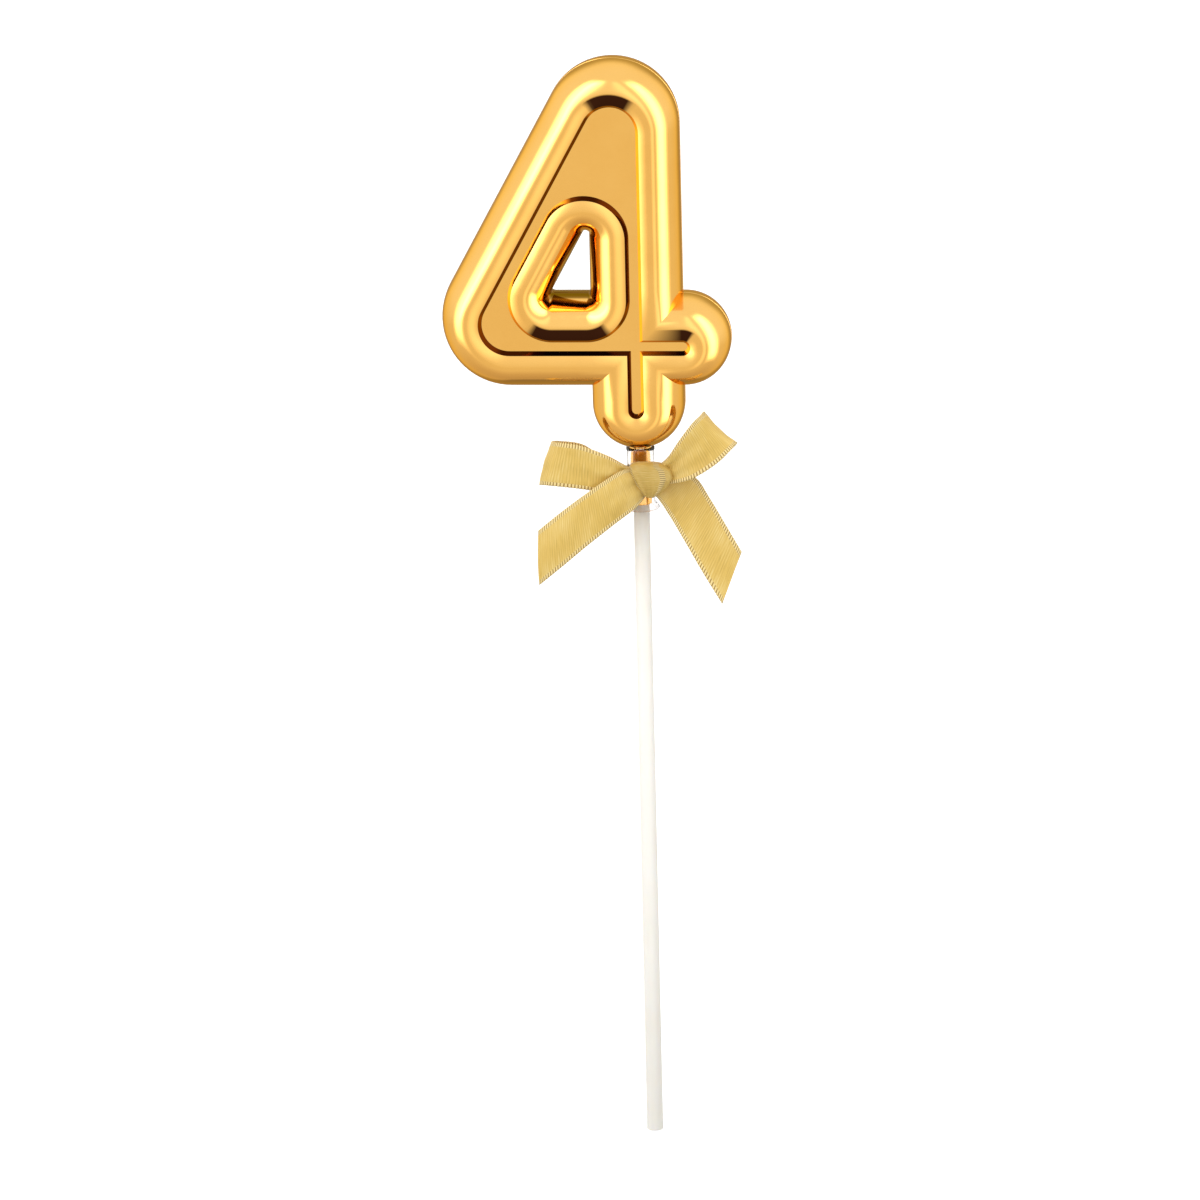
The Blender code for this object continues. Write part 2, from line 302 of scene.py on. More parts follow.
# Painted shade on the digit's gold, from 0 for none to 1 for dark brown: in the creases at the
# ridges' feet, on down-facing slopes and deep in the hole.
shaded_slope_from = 5.7 * mm
slope_shade_from, slope_shade_over = 0.76, 0.1  # how far a slope turns down
darkest_foot_side = Vector((0.8, 0, 0.6))  # foot walls that open this way get the darkest painted shade
foot_shade_from, foot_shade_over = 0.12, 0.2
foot_least = 0.35
hole_shade_from, hole_shade_to = 6.5 * mm, 3.0 * mm
hole_most = 0.8


def swept(bm, start, centre, angle):
    """An arc of edges that a point draws as it turns about a centre, seen from the front."""
    first = bm.verts.new(start)
    steps = max(2, round(abs(angle) / arc_step))
    made = bmesh.ops.spin(
        bm,
        geom=[first],
        cent=centre,
        axis=(0, -1, 0),
        angle=angle,
        steps=steps,
        use_duplicate=False,
    )
    return first, made["geom_last"][0]


def flat_point(x, rise):
    return Vector((x, -seam_gap, digit_bottom + rise))


def outline(bm):
    """The outer edge and the hole's edge: arcs, joined by straight runs."""
    half = stroke / 2
    low, high = bar_height - half, bar_height + half
    apex = Vector((half - apex_radius, digit_height - apex_radius))
    corner = Vector((corner_x, low + corner_radius))
    along = corner - apex
    lean = math.asin((apex_radius - corner_radius) / along.length)
    along.normalize()
    out = Vector((along.y, -along.x)) * math.cos(lean) + along * math.sin(lean)
    slope = math.atan2(out.y, out.x)
    down = math.radians(270)
    hole_radius = hole_corner_radius
    inner_edge = out.dot(apex) + apex_radius - stroke - hole_radius
    right, floor = -half - hole_radius, high + hole_radius
    hole_top = (right, (inner_edge - out.x * right) / out.y)
    hole_left = ((inner_edge - out.y * floor) / out.x, floor)
    loops = (
        (
            ((0, half), half, -math.pi, 0),
            ((half, low), 0, 0, 0),
            ((knob_x, bar_height), half, -math.pi / 2, math.pi / 2),
            ((half, high), 0, 0, 0),
            (apex, apex_radius, 0, slope),
            (corner, corner_radius, slope, down),
            ((-half, low), 0, 0, 0),
        ),
        (
            ((right, floor), hole_radius, -math.pi / 2, 0),
            (hole_top, hole_radius, 0, slope),
            (hole_left, hole_radius, slope, down),
        ),
    )
    for loop in loops:
        ends = []
        for centre, radius, first, last in loop:
            middle = flat_point(*centre)
            if radius == 0:
                point = bm.verts.new(middle)
                ends.append((point, point))
                continue
            start = middle + Vector((math.cos(first), 0, math.sin(first))) * radius
            ends.append(swept(bm, start, middle, last - first))
        for (_, leaving), (arriving, _) in zip(ends, ends[1:] + ends[:1]):
            bm.edges.new((leaving, arriving))
    return flat_point(hole_left[0], floor), flat_point(right, hole_top[1])


def relief():
    """Steps from the seam over the crest to the panel: distance in, depth, and kind of painted
    shade ("full" for none).
    """
    rows = [(0.0, seam_gap + seam_chamfer, "full"), (0.0, seam_land, "full")]
    for i in range(1, ridge_steps + 1):
        a = math.pi / 2 * i / ridge_steps
        depth = seam_land + (ridge_depth - seam_land) * math.sin(a)
        rows.append((crest_in * (1 - math.cos(a)), depth, "full"))
    foot_from = ridge_width - foot_width
    radius = (foot_from - crest_in) / math.sin(slope_angle)
    for i in range(1, slope_steps + 1):
        a = slope_angle * i / slope_steps
        across, depth = crest_in + radius * math.sin(a), ridge_depth - radius * (1 - math.cos(a))
        rows.append((across, depth, "slope" if across > shaded_slope_from else "full"))
    rows.append((foot_from + sharp_edge, depth - sharp_edge * math.tan(slope_angle), "foot"))
    rows.append((ridge_width, panel_depth, "foot"))
    rows.append((ridge_width + sharp_edge, panel_depth, "full"))
    return rows


def rounded(point, digits=7):
    return round(point.x, digits), round(point.z, digits)


def step_up(value, start, over):
    """0 up to a start, then a straight rise to 1."""
    return min(1.0, max(0.0, (value - start) / over))


def shade_from_facing(vert, panel, kind):
    """How much painted shade a point of the panel's edge gets, from the way it faces."""
    opens = sum((face.normal for face in vert.link_faces if face not in panel), Vector())
    opens.y = 0
    if kind == "full" or opens.length < 0.01:
        return 0.0
    opens.normalize()
    slope_down = step_up(-opens.z, slope_shade_from, slope_shade_over)
    foot_side = step_up(opens.dot(darkest_foot_side), foot_shade_from, foot_shade_over)
    foot = foot_least + (1 - foot_least) * foot_side
    return slope_down if kind == "slope" else max(foot, slope_down)


def shell_skin():
    """The front half's outer face, chamfered at the seam, with an attribute that paints shade in
    the creases, on down-facing slopes and in the hole, and darkens the seam.
    """
    bm = bmesh.new()
    hole_low, hole_high = outline(bm)
    bmesh.ops.remove_doubles(bm, verts=bm.verts, dist=0.02 * mm)
    for edge in [e for e in bm.edges if e.calc_length() > 1.5 * run_step]:
        cuts = round(edge.calc_length() / run_step) - 1
        bmesh.ops.subdivide_edges(bm, edges=[edge], cuts=cuts)
    rim_edges = bm.edges[:]
    bmesh.ops.triangle_fill(bm, edges=rim_edges, use_beauty=True, normal=(0, -1, 0))
    inside = [e for e in bm.edges if not e.is_boundary]
    bmesh.ops.dissolve_limit(bm, angle_limit=0.01, verts=[], edges=inside)
    panel = bm.faces[:]
    panel_set = set(panel)
    for face in panel:
        face.normal_update()
        if face.normal.y > 0:
            face.normal_flip()
    crease_and_slope_shade = {}
    before = (0.0, seam_gap)
    for across, depth, kind in relief():
        bmesh.ops.inset_region(
            bm,
            faces=panel,
            use_boundary=True,
            use_even_offset=True,
            thickness=across - before[0],
            depth=depth - before[1],
        )
        before = (across, depth)
        bm.normal_update()
        for vert in {v for face in panel for v in face.verts}:
            if any(face not in panel_set for face in vert.link_faces):
                crease_and_slope_shade[rounded(vert.co)] = shade_from_facing(vert, panel_set, kind)
    bmesh.ops.triangulate(bm, faces=panel)
    painted_shade_and_seam = bm.verts.layers.float.new("painted_shade_and_seam")
    for vert in bm.verts:
        x, y, z = vert.co
        vert[painted_shade_and_seam] = crease_and_slope_shade.get(rounded(vert.co), 0.0)
        # Painted shade in the hole, darker further in from the front face.
        if hole_low.x - mm < x < hole_high.x + mm and hole_low.z - mm < z < hole_high.z + mm:
            deep = step_up(y, -hole_shade_from, hole_shade_from - hole_shade_to)
            vert[painted_shade_and_seam] = max(vert[painted_shade_and_seam], deep * hole_most)
    # The seam's chamfer is dark brown all along: the dark joint between the shells.
    chamfer = [(v, v.normal.copy()) for v in bm.verts if v.is_boundary]
    for vert, out in chamfer:
        vert[painted_shade_and_seam] = 1.0
        vert.co -= Vector((out.x, 0, out.z)) * seam_chamfer
    return bm


def make_spigot(side):
    """Half of the stepped socket that the stick pushes into."""
    outer_radius, bore_radius = 2.25 * mm, 1.85 * mm
    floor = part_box("stick")[1].z + 0.3 * mm  # just clear of the stick's end
    top = digit_bottom + 1.5 * mm  # up inside the digit
    edge = 0.15 * mm
    half_steps = 40
    profile = (
        (bore_radius, spigot_bottom),
        (outer_radius - edge, spigot_bottom),
        (outer_radius, spigot_bottom + edge),
        (outer_radius, top),
        (0, top),
        (0, floor),
        (bore_radius, floor),
    )
    bm = bmesh.new()
    gap = 0.08 * mm
    points = [bm.verts.new((r, side * gap, z)) for r, z in profile]
    face = bm.faces.new(points)
    bmesh.ops.spin(
        bm,
        geom=[face],
        cent=(0, side * gap, 0),
        axis=(0, 0, side),
        angle=math.pi,
        steps=half_steps,
        use_duplicate=False,
    )
    bmesh.ops.remove_doubles(bm, verts=bm.verts, dist=0.001 * mm)
    bmesh.ops.recalc_face_normals(bm, faces=bm.faces)
    return bm


def metallised_gold():
    """Vacuum metallised gold under a clear coat: a near mirror with a faint orange peel."""
    material = bpy.data.materials.new("metallised_gold")
    material.use_nodes = True
    tree = Nodes(material.node_tree)
    shader = material.node_tree.nodes["Principled BSDF"]
    place = tree.add("ShaderNodeTexCoord").outputs["Object"]
    broad = tree.add("ShaderNodeTexNoise", {"Vector": place, "Scale": 90.0, "Detail": 2.0})
    fine = tree.add("ShaderNodeTexNoise", {"Vector": place, "Scale": 900.0, "Detail": 3.0})
    golds = ((0.35, (0.965, 0.555, 0.150)), (0.65, (0.985, 0.580, 0.165)))
    plated = tree.ramp(broad.outputs["Fac"], golds)
    # The attribute mixes the gold to dark brown: painted shade in creases, on down-facing slopes
    # and in the hole, and the dark seam.
    painted_shade_and_seam = tree.add("ShaderNodeAttribute", attribute_name="painted_shade_and_seam").outputs["Fac"]
    shade_and_seam_brown = (0.045, 0.014, 0.006, 1)
    tint = tree.add(
        "ShaderNodeMix", {"Factor": painted_shade_and_seam, "A": plated, "B": shade_and_seam_brown}, data_type="RGBA"
    )
    tree.feed(shader.inputs["Base Color"], tint.outputs["Result"])
    shader.inputs["Metallic"].default_value = 1.0
    shader.inputs["Specular Tint"].default_value = (1.0, 0.72, 0.36, 1)
    tree.feed(shader.inputs["Roughness"], tree.between(fine.outputs["Fac"], 0.3, 0.7, 0.07, 0.12))
    peel = tree.math("ADD", broad.outputs["Fac"], tree.math("MULTIPLY", fine.outputs["Fac"], 0.06))
    bump = tree.add("ShaderNodeBump", {"Height": peel, "Strength": 0.25, "Distance": 0.25 * mm})
    tree.feed(shader.inputs["Normal"], bump.outputs["Normal"])
    return material


gold = metallised_gold()

for node, side in (("front_shell", -1), ("back_shell", 1)):
    skin = shell_skin()
    if side > 0:
        bmesh.ops.scale(skin, vec=(1, -1, 1), verts=skin.verts)
        bmesh.ops.reverse_faces(skin, faces=skin.faces)
    piece = add_piece(f"digit_{node}", skin)
    solid = piece.modifiers.new("Wall", "SOLIDIFY")
    solid.thickness = wall
    solid.offset = -1
    solid.use_even_offset = True
    piece.data.materials.append(gold)
    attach(piece, "digit")
    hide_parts(node)
    spigot = add_piece(f"spigot_{node}", make_spigot(side))
    spigot.data.materials.append(gold)
    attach(spigot, "digit")


# ---------------------------------------------------------------------------------------
# Neck sleeve: a short clear collar over the spigot, turned up into a flared mouth at the
# bottom and a small rim at the top. The bow is tied round its waist.
# ---------------------------------------------------------------------------------------
sleeve_low, sleeve_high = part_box("neck_sleeve")
sleeve_bore = 2.35 * mm
sleeve_waist = 2.9 * mm
sleeve_mouth = sleeve_high.x
sleeve_rim = 3.08 * mm
turning_steps = 96


def turned(profile):
    """A closed ring of (radius, height) points, turned about the stick's axis."""
    bm = bmesh.new()
    verts = [bm.verts.new((r, 0, z)) for r, z in profile]
    edges = [bm.edges.new((verts[i - 1], verts[i])) for i in range(len(verts))]
    bmesh.ops.spin(
        bm,
        geom=verts + edges,
        cent=(0, 0, 0),
        axis=(0, 0, 1),
        angle=math.tau,
        steps=turning_steps,
        use_merge=True,
    )
    bmesh.ops.recalc_face_normals(bm, faces=bm.faces)
    return bm


def clear_plastic():
    """Clear polystyrene with fine scuffs in its gloss."""
    material = bpy.data.materials.new("clear_plastic")
    material.use_nodes = True
    tree = Nodes(material.node_tree)
    shader = material.node_tree.nodes["Principled BSDF"]
    shader.inputs["Base Color"].default_value = (0.98, 0.93, 0.90, 1)
    shader.inputs["Transmission Weight"].default_value = 1.0
    shader.inputs["IOR"].default_value = 1.45
    place = tree.add("ShaderNodeTexCoord").outputs["Object"]
    scuffs = tree.add("ShaderNodeTexNoise", {"Vector": place, "Scale": 2500.0, "Detail": 4.0})
    roughness = tree.between(scuffs.outputs["Fac"], 0.45, 0.8, 0.02, 0.14)
    tree.feed(shader.inputs["Roughness"], roughness)
    return material


bottom, top = sleeve_low.z, sleeve_high.z
sleeve_profile = (
    (sleeve_mouth - 0.75 * mm, bottom + 0.05 * mm),
    (sleeve_mouth - 0.15 * mm, bottom),
    (sleeve_mouth, bottom + 0.15 * mm),
    (sleeve_mouth, bottom + 0.45 * mm),
    (sleeve_mouth - 0.35 * mm, bottom + 0.95 * mm),
    (sleeve_waist + 0.15 * mm, bottom + 1.5 * mm),
    (sleeve_waist, bottom + 2.1 * mm),
    (sleeve_waist, top - 0.9 * mm),
    (sleeve_rim, top - 0.6 * mm),
    (sleeve_rim, top - 0.15 * mm),
    (sleeve_rim - 0.15 * mm, top),
    (sleeve_bore + 0.1 * mm, top),
    (sleeve_bore, top - 0.1 * mm),
    (sleeve_bore, bottom + 1.8 * mm),
    (sleeve_bore + 0.25 * mm, bottom + 1.0 * mm),
)
sleeve = add_piece("clear_neck_sleeve", turned(sleeve_profile), 50)
sleeve.data.materials.append(clear_plastic())
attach(sleeve, "neck")
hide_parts("neck_sleeve")


# ---------------------------------------------------------------------------------------
# Stick: a length of extruded ivory polypropylene tube, cut square, with its cut edges
# barely broken.
# ---------------------------------------------------------------------------------------
stick_low, stick_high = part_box("stick")
stick_radius = stick_high.x
stick_bore = 0.8 * mm
cut_edge = 0.12 * mm


def ivory_plastic():
    """Milky extruded plastic, with die lines along it and light reaching a little way in."""
    material = bpy.data.materials.new("ivory_plastic")
    material.use_nodes = True
    tree = Nodes(material.node_tree)
    shader = material.node_tree.nodes["Principled BSDF"]
    place = tree.add("ShaderNodeTexCoord").outputs["Object"]
    stretched = tree.add("ShaderNodeMapping", {"Vector": place, "Scale": (2400.0, 2400.0, 12.0)})
    along = stretched.outputs["Vector"]
    lines = tree.add("ShaderNodeTexNoise", {"Vector": along, "Scale": 1.0, "Detail": 2.0})
    lines = lines.outputs["Fac"]
    cloud = tree.add("ShaderNodeTexNoise", {"Vector": place, "Scale": 60.0, "Detail": 2.0})
    tint = tree.ramp(cloud.outputs["Fac"], ((0.3, (0.91, 0.87, 0.80)), (0.7, (0.95, 0.92, 0.86))))
    tree.feed(shader.inputs["Base Color"], tint)
    tree.feed(shader.inputs["Roughness"], tree.between(lines, 0.3, 0.7, 0.32, 0.46))
    bump = tree.add("ShaderNodeBump", {"Height": lines, "Strength": 0.3, "Distance": 0.02 * mm})
    tree.feed(shader.inputs["Normal"], bump.outputs["Normal"])
    shader.inputs["Subsurface Weight"].default_value = 0.35
    shader.inputs["Subsurface Radius"].default_value = (1.0, 0.8, 0.6)
    shader.inputs["Subsurface Scale"].default_value = 1.0 * mm
    return material


stick_profile = (
    (stick_bore, stick_low.z),
    (stick_radius - cut_edge, stick_low.z),
    (stick_radius, stick_low.z + cut_edge),
    (stick_radius, stick_high.z - cut_edge),
    (stick_radius - cut_edge, stick_high.z),
    (stick_bore, stick_high.z),
)
stick = add_piece("ivory_stick", turned(stick_profile), 50)
stick.data.materials.append(ivory_plastic())
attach(stick, "stick")
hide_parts("stick")


# ---------------------------------------------------------------------------------------
# Bow: one length of 10 mm gold satin ribbon with looped selvedges, tied round the sleeve.
# Each stretch is a strip that runs through lines across the ribbon, from the knot outwards;
# a line is its upper and its lower point, in millimetres.
# ---------------------------------------------------------------------------------------
ribbon_width = 10.0 * mm
ribbon_thickness = 0.22 * mm
ribbon_row = 0.125 * mm
ribbon_columns = 26
curve_samples = 200
look_ahead = 0.01
picot_pitch = 0.5 * mm
picot_height = 0.06 * mm
picot_share = 0.1  # how much of each half of the ribbon the selvedge loops pull in and out
pucker_waves = 15
pucker_fade = 0.25
drift_height = 0.25 * mm
drift_length = 9 * mm
knot_shade_reach = 4.5 * mm  # how far from the knot the satin gets painted shade


def along_curve(points, t):
    """A point on the smooth curve through some points; t runs from 0 to 1."""
    spans = len(points) - 1
    i = min(int(t * spans), spans - 1)
    s = t * spans - i
    a, b, c, d = (points[max(0, min(spans, i + k))] for k in (-1, 0, 1, 2))
    return b + ((c - a) + ((2 * a - 5 * b + 4 * c - d) + (3 * (b - c) + d - a) * s) * s) * (s / 2)


def lay_ribbon(name, lines, cup, puckers, seed, looped):
    """A strip of ribbon. cup bows it across its width, and puckers fade away from the knot.

    A looped strip comes back to the knot, so it gets painted shade at both ends.
    """
    upper = [Vector(line[0]) * mm for line in lines]
    lower = [Vector(line[1]) * mm for line in lines]
    middle = [(a + b) / 2 for a, b in zip(upper, lower)]
    samples = [along_curve(middle, i / curve_samples) for i in range(curve_samples + 1)]
    length = sum((b - a).length for a, b in zip(samples, samples[1:]))
    rows = round(length / ribbon_row)
    bm = bmesh.new()
    bmesh.ops.create_grid(bm, x_segments=ribbon_columns, y_segments=rows, size=1.0)
    uv = bm.loops.layers.uv.new("ribbon")
    gathered_and_shaded = bm.verts.layers.float.new("gathered_and_shaded")
    place = {}
    for vert in bm.verts:
        across = (vert.co.x + 1) / 2
        t = (vert.co.y + 1) / 2
        place[vert] = (across, t)
        top_point, low_point = along_curve(upper, t), along_curve(lower, t)
        here = top_point.lerp(low_point, across)
        after = along_curve(middle, min(1, t + look_ahead))
        before = along_curve(middle, max(0, t - look_ahead))
        face_way = (after - before).cross(low_point - top_point).normalized()
        lift = cup * (1 - (2 * across - 1) ** 2)
        wave = math.sin(across * pucker_waves + seed + 2 * t)
        gather = puckers * math.exp(-t / pucker_fade) * wave
        drift_at = Vector((across * 2.0, t * length / drift_length, seed))
        drift = drift_height * noise.noise(drift_at)
        picot = picot_height * math.sin(t * length * math.tau / picot_pitch)
        edge = (low_point - top_point).normalized() * picot
        near_edge = max(0.0, abs(2 * across - 1) - (1 - picot_share)) / picot_share
        edge *= near_edge * (1 if across > 0.5 else -1)
        vert.co = here + face_way * (lift + gather + drift) + edge
        # Painted shade near the knot, fading away from it.
        near_knot = min(t, 1 - t) if looped else t
        vert[gathered_and_shaded] = math.exp(-near_knot * length / knot_shade_reach)
    for face in bm.faces:
        for loop in face.loops:
            across, t = place[loop.vert]
            loop[uv].uv = (across, t * length / ribbon_width)
    strip = add_piece(name, bm, 60)
    cloth = strip.modifiers.new("Cloth", "SOLIDIFY")
    cloth.thickness = ribbon_thickness
    cloth.offset = 0
    return strip, length


weft_pitch = 0.45 * mm
warp_pitch = 0.28 * mm


def satin():
    """Gold satin ribbon: crosswise weft ribs, a soft sheen, dotted woven selvedges, and painted
    shade near the knot.
    """
    material = bpy.data.materials.new("gold_satin")
    material.use_nodes = True
    tree = Nodes(material.node_tree)
    shader = material.node_tree.nodes["Principled BSDF"]
    where = tree.add("ShaderNodeUVMap", uv_map="ribbon").outputs["UV"]
    parts = tree.add("ShaderNodeSeparateXYZ", {"Vector": where}).outputs
    waves = math.tau * ribbon_width
    weft = tree.math("SINE", tree.math("MULTIPLY", parts["Y"], waves / weft_pitch))
    warp = tree.math("SINE", tree.math("MULTIPLY", parts["X"], waves / warp_pitch))
    loops = tree.math("SINE", tree.math("MULTIPLY", parts["Y"], waves / picot_pitch))
    from_middle = tree.math("ABSOLUTE", tree.math("SUBTRACT", parts["X"], 0.5))
    selvedge = tree.between(from_middle, 0.40, 0.415)
    stretched = tree.add("ShaderNodeMapping", {"Vector": where, "Scale": (3.0, 60.0, 1.0)})
    slubs = tree.add(
        "ShaderNodeTexNoise", {"Vector": stretched.outputs["Vector"], "Scale": 1.0, "Detail": 3.0}
    ).outputs["Fac"]
    patches = tree.add("ShaderNodeTexNoise", {"Vector": where, "Scale": 1.3, "Detail": 1.0})
    tone = tree.math("ADD", tree.math("MULTIPLY", weft, 0.07), tree.math("MULTIPLY", slubs, 0.6))
    tone = tree.math("ADD", tone, tree.math("MULTIPLY", patches.outputs["Fac"], 0.55))
    tone = tree.math("SUBTRACT", tone, 0.06)
    satins = ((0.25, (0.60, 0.39, 0.08)), (0.5, (0.77, 0.52, 0.125)), (0.8, (0.92, 0.72, 0.30)))
    body = tree.ramp(tone, satins)
    # The selvedge's row of woven loops, with painted shade in the gaps between them.
    loop_and_gap_shade = ((0.0, (0.38, 0.22, 0.05)), (1.0, (0.96, 0.76, 0.34)))
    dotted = tree.ramp(tree.between(loops, -0.8, 0.1), loop_and_gap_shade)
    colour = tree.add("ShaderNodeMix", data_type="RGBA")
    tree.feed(colour.inputs["Factor"], selvedge)
    tree.feed(colour.inputs["A"], body)
    tree.feed(colour.inputs["B"], dotted)
    # Painted shade: darker where the attribute says the ribbon is near the knot.
    shade_near_knot = tree.add("ShaderNodeAttribute", attribute_name="gathered_and_shaded").outputs["Fac"]
    shaded_by_knot = tree.add(
        "ShaderNodeMix", {"Factor": shade_near_knot}, data_type="RGBA", blend_type="MULTIPLY"
    )
    tree.feed(shaded_by_knot.inputs["A"], colour.outputs["Result"])
    shaded_by_knot.inputs["B"].default_value = (0.70, 0.68, 0.64, 1)
    tree.feed(shader.inputs["Base Color"], shaded_by_knot.outputs["Result"])
    tree.feed(shader.inputs["Roughness"], tree.between(slubs, 0.3, 0.7, 0.36, 0.5))
    threads = tree.math("ADD", tree.math("MULTIPLY", weft, 0.5), tree.math("MULTIPLY", warp, 0.2))
    raised = tree.math("ADD", threads, tree.math("MULTIPLY", loops, selvedge))
    bump = tree.add("ShaderNodeBump", {"Height": raised, "Strength": 0.5, "Distance": 0.03 * mm})
    tree.feed(shader.inputs["Normal"], bump.outputs["Normal"])
    shader.inputs["Specular IOR Level"].default_value = 0.35
    shader.inputs["Sheen Weight"].default_value = 0.15
    shader.inputs["Sheen Roughness"].default_value = 0.35
    shader.inputs["Sheen Tint"].default_value = (1.0, 0.88, 0.6, 1)
    return material


gold_satin = satin()

left_loop_lines = (
    ((-1.6, -6.2, 150.6), (-1.6, -6.2, 146.8)),
    ((-3.4, -6.6, 151.6), (-3.4, -6.6, 146.0)),
    ((-6.8, -8.0, 154.0), (-7.2, -8.0, 145.8)),
    ((-12.3, -9.0, 156.4), (-13.2, -9.0, 146.8)),
    ((-17.2, -8.6, 157.0), (-19.8, -8.6, 147.4)),
    ((-18.6, -6.4, 156.5), (-21.4, -6.4, 146.9)),
    ((-17.2, -4.2, 156.1), (-19.8, -4.2, 146.4)),
    ((-12.3, -3.6, 155.2), (-13.2, -3.6, 145.6)),
    ((-7.4, -4.2, 152.2), (-7.4, -4.2, 145.2)),
    ((-2.0, -5.2, 150.2), (-2.0, -5.2, 146.2)),
)
right_loop_lines = (
    ((4.6, -6.4, 151.4), (5.0, -6.6, 147.4)),
    ((6.6, -6.9, 153.4), (7.6, -6.8, 147.4)),
    ((9.3, -8.2, 157.6), (12.0, -8.2, 148.9)),
    ((12.0, -9.0, 161.3), (17.2, -9.2, 152.4)),
    ((13.8, -8.4, 162.9), (20.6, -8.6, 155.6)),
    ((14.5, -6.4, 163.1), (21.4, -6.4, 156.1)),
    ((13.8, -4.8, 162.3), (20.4, -4.8, 154.8)),
    ((11.2, -4.4, 158.6), (16.6, -4.4, 151.2)),
    ((8.8, -4.7, 154.6), (11.2, -4.7, 148.6)),
    ((5.2, -5.4, 151.0), (5.4, -5.4, 147.4)),
)
left_tail_lines = (
    ((-1.2, -7.0, 150.4), (1.4, -6.9, 144.2)),
    ((-3.4, -8.2, 150.6), (-0.8, -7.9, 142.0)),
    ((-7.2, -9.6, 148.6), (-5.2, -9.4, 138.9)),
    ((-12.0, -10.4, 145.4), (-10.8, -10.2, 134.6)),
    ((-17.0, -10.0, 141.5), (-16.6, -9.8, 129.6)),
    ((-21.8, -8.8, 137.3), (-21.9, -8.6, 125.0)),
)
right_tail_lines = (
    ((4.8, -4.9, 147.6), (2.8, -5.2, 144.6)),
    ((8.6, -3.6, 148.4), (4.2, -5.2, 143.2)),
    ((12.2, -3.3, 147.5), (6.6, -5.4, 139.4)),
    ((15.2, -3.8, 143.0), (9.6, -6.0, 134.2)),
    ((18.6, -4.8, 137.3), (13.4, -6.4, 127.3)),
    ((21.9, -5.4, 131.5), (17.5, -6.2, 120.1)),
)
stretches = (
    ("bow_loop_left", left_loop_lines, 0.3 * mm, 0.35 * mm, "gathered_and_shaded"),
    ("bow_loop_right", right_loop_lines, 0.3 * mm, 0.35 * mm, "gathered_and_shaded"),
    ("bow_tail_left", left_tail_lines, 0.5 * mm, 0.3 * mm, "hung"),
    ("bow_tail_right", right_tail_lines, 0.5 * mm, 0.3 * mm, "hung"),
)
for seed, (node, lines, cup, puckers, held) in enumerate(stretches):
    # Loops meet the knot at both ends, so their painted shade lies at both ends.
    looped = held == "gathered_and_shaded"
    strip, length = lay_ribbon(f"ribbon_{node}", lines, cup, puckers, seed * 1.7, looped)
    strip.data.materials.append(gold_satin)
    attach(strip, "bow")
    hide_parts(node)


# Band: the turn of the same ribbon round the sleeve, under the knot. It is bunched into
# pleats, to about half of its full width.
band_low, band_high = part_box("bow_band")
band_bulge = 0.35 * mm
band_top = band_high.z - 0.6 * mm
band_radius = band_high.x - 0.35 * mm
band_columns = 24
band_rows = 120
band_pleats, band_sway, band_pleat_depth = 28, 0.6, 0.22 * mm
# Painted shade on the band, which lies under the knot.
band_shade_level = 0.7

bm = bmesh.new()
bmesh.ops.create_grid(bm, x_segments=band_columns, y_segments=band_rows, size=1.0)
uv = bm.loops.layers.uv.new("ribbon")
for face in bm.faces:
    for loop in face.loops:
        loop[uv].uv = ((loop.vert.co.x + 1) / 2, (loop.vert.co.y + 1) * 1.1)
gathered_and_shaded = bm.verts.layers.float.new("gathered_and_shaded")
for vert in bm.verts:
    vert[gathered_and_shaded] = band_shade_level
    across, around = (vert.co.x + 1) / 2, vert.co.y * math.pi
    sway = band_sway * math.sin(around * 2)
    pleat = math.sin(across * band_pleats + sway) * band_pleat_depth
    radius = band_radius + pleat + band_bulge * (1 - (2 * across - 1) ** 2) * 0.5
    z = band_low.z + (band_top - band_low.z) * across
    vert.co = Vector((radius * math.sin(around), radius * math.cos(around), z))
bmesh.ops.remove_doubles(bm, verts=bm.verts, dist=0.001 * mm)
bmesh.ops.recalc_face_normals(bm, faces=bm.faces)
band = add_piece("ribbon_bow_band", bm, 60)
cloth = band.modifiers.new("Cloth", "SOLIDIFY")
cloth.thickness = ribbon_thickness
cloth.offset = 0
band.data.materials.append(gold_satin)
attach(band, "bow")
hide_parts("bow_band")


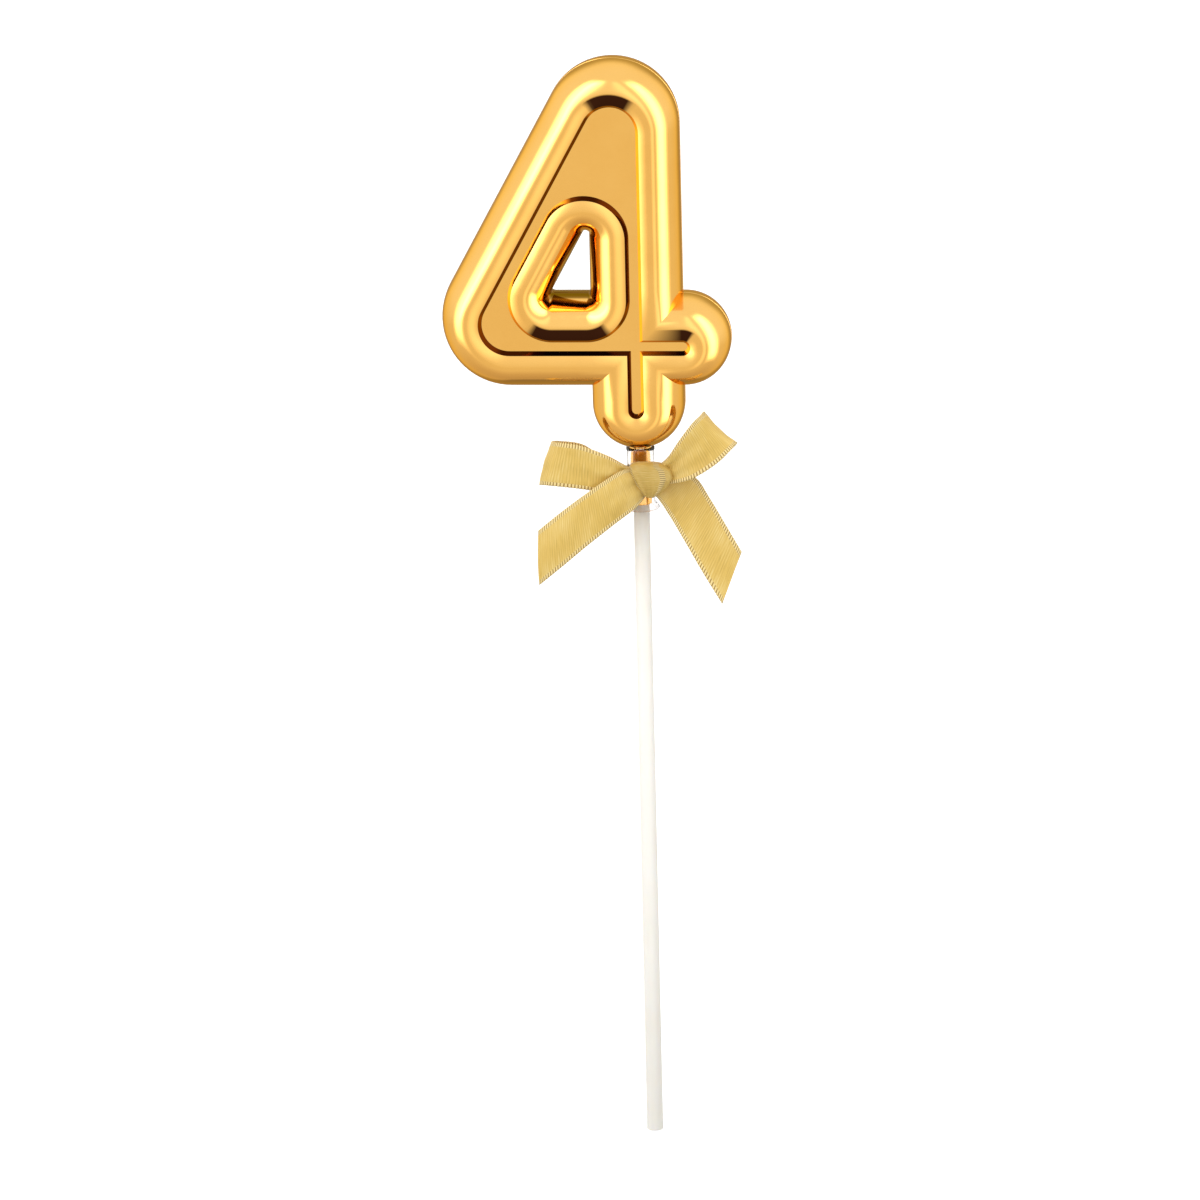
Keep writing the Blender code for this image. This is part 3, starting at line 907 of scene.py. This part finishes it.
# Knot: the ribbon's last turn over the middle of the bow, drawn tight. It is folded over at
# its left, and wider on the right, where its selvedge shows and the right-hand loop leaves it.
knot_low, knot_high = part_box("bow_knot")
knot_cuts = 29
squareness = 4.5
# Painted shade on the knot itself.
knot_shade_level = 0.85
crown = 0.22  # how much thinner the knot is at its top and bottom
fold_at, fold_width, fold_height = -0.76, 0.12, 0.38 * mm
pleat_waves, pleat_lean, pleat_height = 15, 1.6, 0.11 * mm
crumple, crumple_height = 1.3, 0.16 * mm
edge_from, edge_over, edge_drop = 0.66, 0.1, 0.30 * mm
knot_rows = (
    # height from the bottom to the top, and how far the knot reaches left and right there
    (-1.0, 1.4 * mm, 3.6 * mm),
    (-0.5, 0.1 * mm, 5.8 * mm),
    (0.1, -1.3 * mm, 7.4 * mm),
    (0.6, -2.1 * mm, 7.2 * mm),
    (1.0, -2.6 * mm, 5.6 * mm),
)


def knot_reach(height):
    """How far left and right the knot goes at a height from -1 to 1."""
    for (low, left_low, right_low), (high, left_high, right_high) in zip(knot_rows, knot_rows[1:]):
        if height <= high:
            break
    t = (height - low) / (high - low)
    return left_low + (left_high - left_low) * t, right_low + (right_high - right_low) * t


bm = bmesh.new()
bmesh.ops.create_cube(bm, size=2.0)
bmesh.ops.subdivide_edges(bm, edges=bm.edges, cuts=knot_cuts, use_grid_fill=True)
uv = bm.loops.layers.uv.new("ribbon")
for face in bm.faces:
    for loop in face.loops:
        p = loop.vert.co
        across = 0.06 + 0.60 * (p.x + 1)
        loop[uv].uv = (min(across, 2 - across), 0.44 * (p.z + 1) + 0.3 * (p.y + 1))
gathered_and_shaded = bm.verts.layers.float.new("gathered_and_shaded")
for vert in bm.verts:
    vert[gathered_and_shaded] = knot_shade_level
    p = vert.co.copy()
    p /= sum(abs(c) ** squareness for c in p) ** (1 / squareness)
    left, right = knot_reach(p.z)
    x = left + (right - left) * (p.x + 1) / 2
    fold = fold_height * math.exp(-(((p.x - fold_at) / fold_width) ** 2))
    pleats = pleat_height * math.sin(p.x * pleat_waves + p.z * pleat_lean)
    pleats += crumple_height * noise.noise(p * crumple)
    pleats -= edge_drop * step_up(p.x, edge_from, edge_over)
    bulge = (1 - crown * p.z * p.z) * (knot_high.y - knot_low.y) / 2
    y = (knot_low.y + knot_high.y) / 2 + p.y * bulge - (fold + pleats) * max(0.0, -p.y)
    z = (knot_low.z + knot_high.z) / 2 + p.z * (knot_high.z - knot_low.z) / 2
    vert.co = Vector((x, y, z))
bmesh.ops.recalc_face_normals(bm, faces=bm.faces)
knot = add_piece("ribbon_bow_knot", bm, 80)
knot.data.materials.append(gold_satin)
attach(knot, "bow")
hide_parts("bow_knot")


# ---------------------------------------------------------------------------------------
# The box of the pieces shown, without the table.
# ---------------------------------------------------------------------------------------
low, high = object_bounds()
